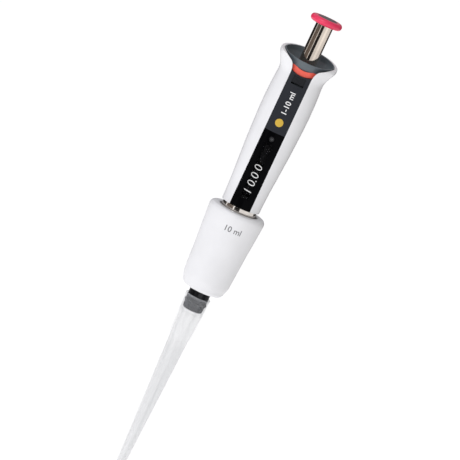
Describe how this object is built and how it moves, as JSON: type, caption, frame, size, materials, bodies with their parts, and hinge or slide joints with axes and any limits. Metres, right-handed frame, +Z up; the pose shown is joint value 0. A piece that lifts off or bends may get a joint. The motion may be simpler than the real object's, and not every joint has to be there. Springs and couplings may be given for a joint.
{
  "type": "mechanical pipette",
  "caption": "Hand-held mechanical pipette with a thumb button, number-drum display, bowl-shaped tip ejector, white sleeve and a long tapered tip.",
  "frame": {"origin": "centre of the tip's outlet, on the main axis", "axes": "+Z up the main axis to the thumb button; the display faces -Y; the finger hook points +Y"},
  "size_m": [0.0396, 0.0573, 0.3574],
  "materials": {
    "shell_white": "satin moulded ABS",
    "sleeve_white": "satin moulded ABS",
    "screw_steel": "plain",
    "label_charcoal": "fine matt texture",
    "latch_charcoal": "fine matt texture",
    "window_black": "polished",
    "lens_clear": "polished clear polycarbonate",
    "wheel_grey": "matt",
    "frame_grey": "matt moulded",
    "frame_black": "matt moulded",
    "bearing_ivory": "matt moulded PEEK and acetal",
    "spring_steel": "drawn wire",
    "drive_brass": "turned",
    "drum_black": "matt with white numerals",
    "pinion_acetal": "matt moulded",
    "cap_grey": "fine matt texture",
    "button_raspberry": "satin",
    "tube_chrome": "polished",
    "ring_chrome": "polished",
    "shaft_grey": "matt",
    "rod_steel": "ground",
    "seal_rubber": "matt",
    "bowl_slate": "satin moulded",
    "band_coral": "satin",
    "barrel_grey": "smooth moulded",
    "cone_black": "satin moulded",
    "filter_white": "porous sintered fibre",
    "tip_clear": "frosted translucent polypropylene"
  },
  "bodies": {
    "root": {"handle_shell": "shell_white", "finger_hook": "shell_white", "hook_screws": "screw_steel", "label_plate": "label_charcoal", "window_frame": "window_black", "window_lens": "lens_clear", "calibration_wheel": "wheel_grey", "chassis": "frame_black", "tube_bushing": "bearing_ivory", "detent_spring": "spring_steel", "pinion_shaft": "screw_steel", "main_spring": "spring_steel", "blowout_spring": "spring_steel", "ejector_spring": "spring_steel", "chrome_ring": "ring_chrome", "cylinder_neck": "bearing_ivory", "cylinder": "barrel_grey", "tip_cone": "cone_black", "cone_seal": "seal_rubber", "cone_filter": "filter_white"},
    "plunger": {"piston_rod": "rod_steel", "rod_clip": "spring_steel", "piston": "bearing_ivory", "piston_seal": "seal_rubber"},
    "knob": {"button_cap": "cap_grey", "button_ring": "button_raspberry", "plunger_tube": "tube_chrome", "drive_shaft": "shaft_grey"},
    "drive": {"drive_sleeve": "drive_brass"},
    "hundredths": {"drum_hundredths": "drum_black"},
    "tenths": {"drum_tenths": "drum_black"},
    "ones": {"drum_ones": "drum_black"},
    "tens": {"drum_tens": "drum_black"},
    "pinion_a": {"pinion_tenths": "pinion_acetal"},
    "pinion_b": {"pinion_ones": "pinion_acetal"},
    "pinion_c": {"pinion_tens": "pinion_acetal"},
    "nut": {"stop_nut": "drive_brass"},
    "second_stop": {"blowout_washer": "bearing_ivory"},
    "latch": {"label_latch": "latch_charcoal"},
    "ejector": {"ejector_button": "bowl_slate", "colour_band": "band_coral", "ejector_strips": "rod_steel", "ejector_yoke": "frame_grey", "ejector_sleeve": "sleeve_white"},
    "tip": {"tip": "tip_clear"}
  },
  "joints": [
    {"name": "plunger_press", "type": "slide", "parent": "root", "child": "plunger", "axis": [0, 0, -1], "range_m": [0, 0.0285], "stiffness_N_per_m": 150, "springref_m": -0.02, "deforming": ["main_spring"]},
    {"name": "volume_dial", "type": "hinge", "parent": "plunger", "child": "knob", "pos_m": [0, 0, 0.357], "axis": [0, 0, 1], "range_deg": [-16200, 0]},
    {"name": "drive_turn", "type": "hinge", "parent": "root", "child": "drive", "pos_m": [0, 0, 0.247], "axis": [0, 0, 1], "range_deg": [-16200, 0]},
    {"name": "hundredths_turn", "type": "hinge", "parent": "root", "child": "hundredths", "pos_m": [0, 0, 0.2519], "axis": [0, 0, 1], "range_deg": [-16200, 0]},
    {"name": "tenths_turn", "type": "hinge", "parent": "root", "child": "tenths", "pos_m": [0, 0, 0.2463], "axis": [0, 0, 1], "range_deg": [-3240, 0]},
    {"name": "ones_turn", "type": "hinge", "parent": "root", "child": "ones", "pos_m": [0, 0, 0.2407], "axis": [0, 0, 1], "range_deg": [-324, 0]},
    {"name": "tens_turn", "type": "hinge", "parent": "root", "child": "tens", "pos_m": [0, 0, 0.2351], "axis": [0, 0, 1], "range_deg": [-36.5, 0]},
    {"name": "pinion_tenths_turn", "type": "hinge", "parent": "root", "child": "pinion_a", "pos_m": [0, 0.01095, 0.2491], "axis": [0, 0, 1], "range_deg": [0, 8100]},
    {"name": "pinion_ones_turn", "type": "hinge", "parent": "root", "child": "pinion_b", "pos_m": [0, 0.01095, 0.2435], "axis": [0, 0, 1], "range_deg": [0, 810]},
    {"name": "pinion_tens_turn", "type": "hinge", "parent": "root", "child": "pinion_c", "pos_m": [0, 0.01095, 0.2379], "axis": [0, 0, 1], "range_deg": [0, 91]},
    {"name": "nut_rise", "type": "slide", "parent": "root", "child": "nut", "axis": [0, 0, 1], "range_m": [0, 0.0225]},
    {"name": "second_stop_drop", "type": "slide", "parent": "root", "child": "second_stop", "axis": [0, 0, -1], "range_m": [0, 0.0035], "deforming": ["blowout_spring"]},
    {"name": "latch_slide", "type": "slide", "parent": "root", "child": "latch", "axis": [0, 0, -1], "range_m": [0, 0.001]},
    {"name": "ejector_press", "type": "slide", "parent": "root", "child": "ejector", "axis": [0, 0, -1], "range_m": [0, 0.005], "stiffness_N_per_m": 400, "springref_m": -0.01, "deforming": ["ejector_spring"]},
    {"name": "tip_release", "type": "slide", "parent": "root", "child": "tip", "axis": [0, 0, -1], "range_m": [0, 0.0105]}
  ],
  "couplings": [
    {"joint": "drive_turn", "follows": "volume_dial", "ratio": 1},
    {"joint": "hundredths_turn", "follows": "volume_dial", "ratio": 1},
    {"joint": "tenths_turn", "follows": "volume_dial", "ratio": 0.2},
    {"joint": "ones_turn", "follows": "volume_dial", "ratio": 0.02},
    {"joint": "tens_turn", "follows": "volume_dial", "ratio": 0.0022222},
    {"joint": "pinion_tenths_turn", "follows": "volume_dial", "ratio": -0.5},
    {"joint": "pinion_ones_turn", "follows": "volume_dial", "ratio": -0.05},
    {"joint": "pinion_tens_turn", "follows": "volume_dial", "ratio": -0.0055556},
    {"joint": "nut_rise", "follows": "volume_dial", "m_per_rad": -0.00007957},
    {"joint": "second_stop_drop", "follows": "plunger_press", "ratio": 0.1228},
    {"joint": "tip_release", "follows": "ejector_press", "ratio": 2}
  ]
}
